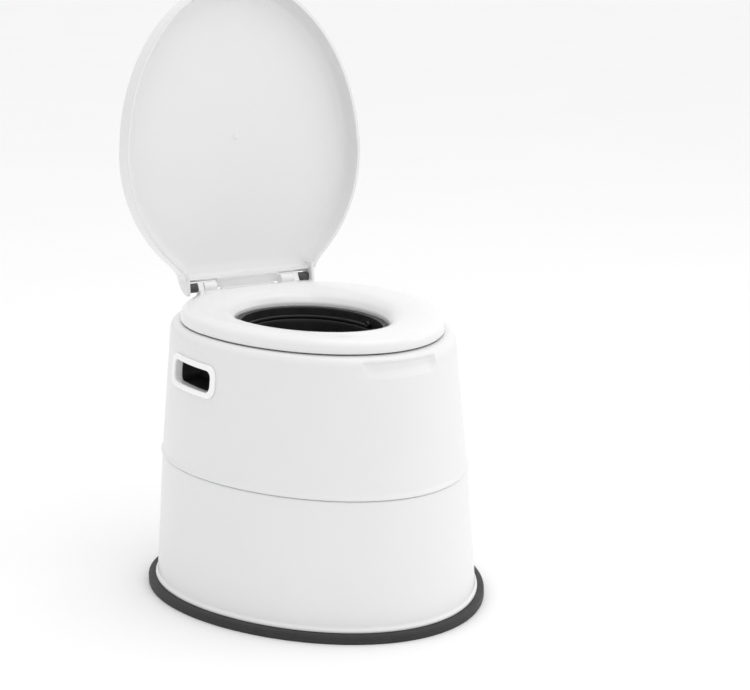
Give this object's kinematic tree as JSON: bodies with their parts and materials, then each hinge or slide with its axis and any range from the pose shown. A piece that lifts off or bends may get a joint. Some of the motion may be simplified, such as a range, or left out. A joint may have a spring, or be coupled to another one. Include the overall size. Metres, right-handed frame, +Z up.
{
  "type": "portable bucket toilet",
  "caption": "Free-standing portable toilet: tapered oval body in stacked shells on a rubber base ring, with hinged seat, wrap-over lid and a lift-out bucket with a bail.",
  "frame": {"origin": "On the floor, at the middle of the base ring's footprint.", "axes": "+Z is up. The front of the toilet faces -Y and the hinge line is at +Y, parallel to X. The lid stands open at rest, and the seat, bucket and bail are in their places."},
  "size_m": [0.367, 0.4307, 0.6684],
  "materials": {
    "body_white": "gloss, white with a slight grey cast",
    "bezel_white": "high gloss, bright white",
    "seat_white": "gloss, white",
    "black_rubber": "matt, black",
    "black_plastic": "satin, black",
    "dark_grey_plastic": "satin, dark grey",
    "steel": "plain bright wire and screw steel"
  },
  "bodies": {
    "lower_body": {"lower_shell": "body_white", "base_ring": "black_rubber"},
    "upper_body": {"upper_shell": "body_white", "handle_bezel_left": "bezel_white", "handle_bezel_right": "bezel_white", "grip_cup_left": "black_plastic", "grip_cup_right": "black_plastic", "hinge_post_left": "seat_white", "hinge_pin_left": "steel", "hinge_bush_left": "dark_grey_plastic", "hinge_bolt_left": "steel", "hinge_washer_left": "steel", "hinge_nut_left": "seat_white", "hinge_post_right": "seat_white", "hinge_pin_right": "steel", "hinge_bush_right": "dark_grey_plastic", "hinge_bolt_right": "steel", "hinge_washer_right": "steel", "hinge_nut_right": "seat_white"},
    "seat": {"seat_ring": "seat_white", "seat_bumper_1": "black_rubber", "seat_bumper_2": "black_rubber", "seat_bumper_3": "black_rubber", "seat_bumper_4": "black_rubber"},
    "lid": {"lid": "seat_white"},
    "bucket": {"bucket": "black_plastic", "bail_pivot_left": "steel", "bail_pivot_right": "steel"},
    "bail": {"bucket_bail": "black_plastic"}
  },
  "joints": [
    {"name": "upper_lift", "type": "slide", "parent": "lower_body", "child": "upper_body", "axis": [0, 0, -1], "range_m": [-0.15, 0]},
    {"name": "seat_hinge", "type": "hinge", "parent": "upper_body", "child": "seat", "pos_m": [0, 0.178, 0.3185], "axis": [1, 0, 0], "range_deg": [-93, 0]},
    {"name": "lid_hinge", "type": "hinge", "parent": "upper_body", "child": "lid", "pos_m": [0, 0.178, 0.3185], "axis": [1, 0, 0], "range_deg": [0, 94.6]},
    {"name": "bucket_lift", "type": "slide", "parent": "upper_body", "child": "bucket", "axis": [0, 0, -1], "range_m": [-0.27, 0]},
    {"name": "bail_swing", "type": "hinge", "parent": "bucket", "child": "bail", "pos_m": [0, 0.0186, 0.2905], "axis": [-1, 0, 0], "range_deg": [-90, 0]}
  ]
}
